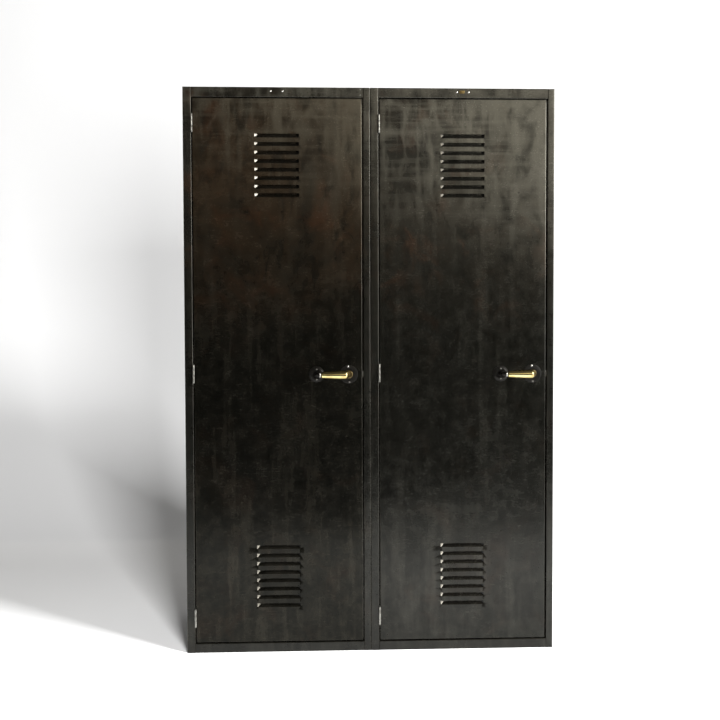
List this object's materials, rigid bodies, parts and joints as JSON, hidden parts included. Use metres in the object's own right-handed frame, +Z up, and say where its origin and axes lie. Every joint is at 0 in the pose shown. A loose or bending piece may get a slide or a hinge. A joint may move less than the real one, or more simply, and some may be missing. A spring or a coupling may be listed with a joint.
{
  "type": "locker cabinet",
  "caption": "Tall steel clothes locker pair with louvred hinged doors, brass lever handles, spring latches, hat shelves and hanging rails.",
  "frame": {"origin": "on the floor, at the middle of the outline seen from above, handles included", "axes": "+Z up, +Y from the doors to the back, +X to the right of a person facing the doors"},
  "size_m": [1.2, 0.5623, 1.83],
  "materials": {
    "case_steel": "stripped and waxed, semi-gloss",
    "door_steel": "stripped and waxed, mottled patina",
    "inner_steel": "bare, dull",
    "hinge_steel": "rubbed bright",
    "lock_steel": "oiled",
    "bright_steel": "polished",
    "dark_iron": "blackened",
    "brass": "polished by use",
    "dull_brass": "tarnished"
  },
  "bodies": {
    "cabinet": {"left_hinge_side": "case_steel", "left_lock_side": "case_steel", "left_roof_panel": "case_steel", "left_floor_panel": "case_steel", "left_top_rail": "case_steel", "left_back_panel": "inner_steel", "left_hat_shelf": "inner_steel", "left_hanging_rail": "inner_steel", "left_upper_hinge_frame_leaf": "hinge_steel", "left_upper_hinge_pin": "hinge_steel", "left_middle_hinge_frame_leaf": "hinge_steel", "left_middle_hinge_pin": "hinge_steel", "left_lower_hinge_frame_leaf": "hinge_steel", "left_lower_hinge_pin": "hinge_steel", "right_hinge_side": "case_steel", "right_lock_side": "case_steel", "right_roof_panel": "case_steel", "right_floor_panel": "case_steel", "right_top_rail": "case_steel", "right_back_panel": "inner_steel", "right_hat_shelf": "inner_steel", "right_hanging_rail": "inner_steel", "right_upper_hinge_frame_leaf": "hinge_steel", "right_upper_hinge_pin": "hinge_steel", "right_middle_hinge_frame_leaf": "hinge_steel", "right_middle_hinge_pin": "hinge_steel", "right_lower_hinge_frame_leaf": "hinge_steel", "right_lower_hinge_pin": "hinge_steel"},
    "left_door": {"left_upper_hinge_door_leaf": "hinge_steel", "left_middle_hinge_door_leaf": "hinge_steel", "left_lower_hinge_door_leaf": "hinge_steel", "left_door": "door_steel", "left_door_stiffener": "inner_steel", "left_handle_rosette": "dark_iron", "left_lock_case": "lock_steel", "left_escutcheon": "dark_iron", "left_lock_cylinder": "brass"},
    "left_handle": {"left_handle_neck": "dark_iron", "left_handle_ferrule": "bright_steel", "left_handle_grip": "brass", "left_spindle_follower": "lock_steel"},
    "left_bolt": {"left_latch_bolt": "lock_steel"},
    "left_plug": {"left_key_plug": "dull_brass"},
    "right_door": {"right_upper_hinge_door_leaf": "hinge_steel", "right_middle_hinge_door_leaf": "hinge_steel", "right_lower_hinge_door_leaf": "hinge_steel", "right_door": "door_steel", "right_door_stiffener": "inner_steel", "right_handle_rosette": "dark_iron", "right_lock_case": "lock_steel", "right_escutcheon": "dark_iron", "right_lock_cylinder": "brass"},
    "right_handle": {"right_handle_neck": "dark_iron", "right_handle_ferrule": "bright_steel", "right_handle_grip": "brass", "right_spindle_follower": "lock_steel"},
    "right_bolt": {"right_latch_bolt": "lock_steel"},
    "right_plug": {"right_key_plug": "dull_brass"}
  },
  "joints": [
    {"name": "left_door_swing", "type": "hinge", "parent": "cabinet", "child": "left_door", "pos_m": [-0.57163, -0.2225, 0.915], "axis": [0, 0, -1], "range_deg": [0, 175]},
    {"name": "left_handle_turn", "type": "hinge", "parent": "left_door", "child": "left_handle", "pos_m": [-0.17508, -0.21875, 0.908], "axis": [0, 1, 0], "range_deg": [0, 45], "stiffness_Nm_per_rad": 1.5, "springref_deg": -34.38},
    {"name": "left_bolt_slide", "type": "slide", "parent": "left_door", "child": "left_bolt", "axis": [-1, 0, 0], "range_m": [0, 0.012]},
    {"name": "left_plug_turn", "type": "hinge", "parent": "left_door", "child": "left_plug", "pos_m": [-0.07108, -0.21875, 0.908], "axis": [0, 1, 0], "range_deg": [0, 90]},
    {"name": "right_door_swing", "type": "hinge", "parent": "cabinet", "child": "right_door", "pos_m": [0.02853, -0.2225, 0.915], "axis": [0, 0, -1], "range_deg": [0, 145]},
    {"name": "right_handle_turn", "type": "hinge", "parent": "right_door", "child": "right_handle", "pos_m": [0.42508, -0.21875, 0.908], "axis": [0, 1, 0], "range_deg": [0, 45], "stiffness_Nm_per_rad": 1.5, "springref_deg": -34.38},
    {"name": "right_bolt_slide", "type": "slide", "parent": "right_door", "child": "right_bolt", "axis": [-1, 0, 0], "range_m": [0, 0.012]},
    {"name": "right_plug_turn", "type": "hinge", "parent": "right_door", "child": "right_plug", "pos_m": [0.52908, -0.21875, 0.908], "axis": [0, 1, 0], "range_deg": [0, 90]}
  ],
  "couplings": [
    {"joint": "left_bolt_slide", "follows": "left_handle_turn", "m_per_rad": 0.01527},
    {"joint": "right_bolt_slide", "follows": "right_handle_turn", "m_per_rad": 0.01527}
  ]
}
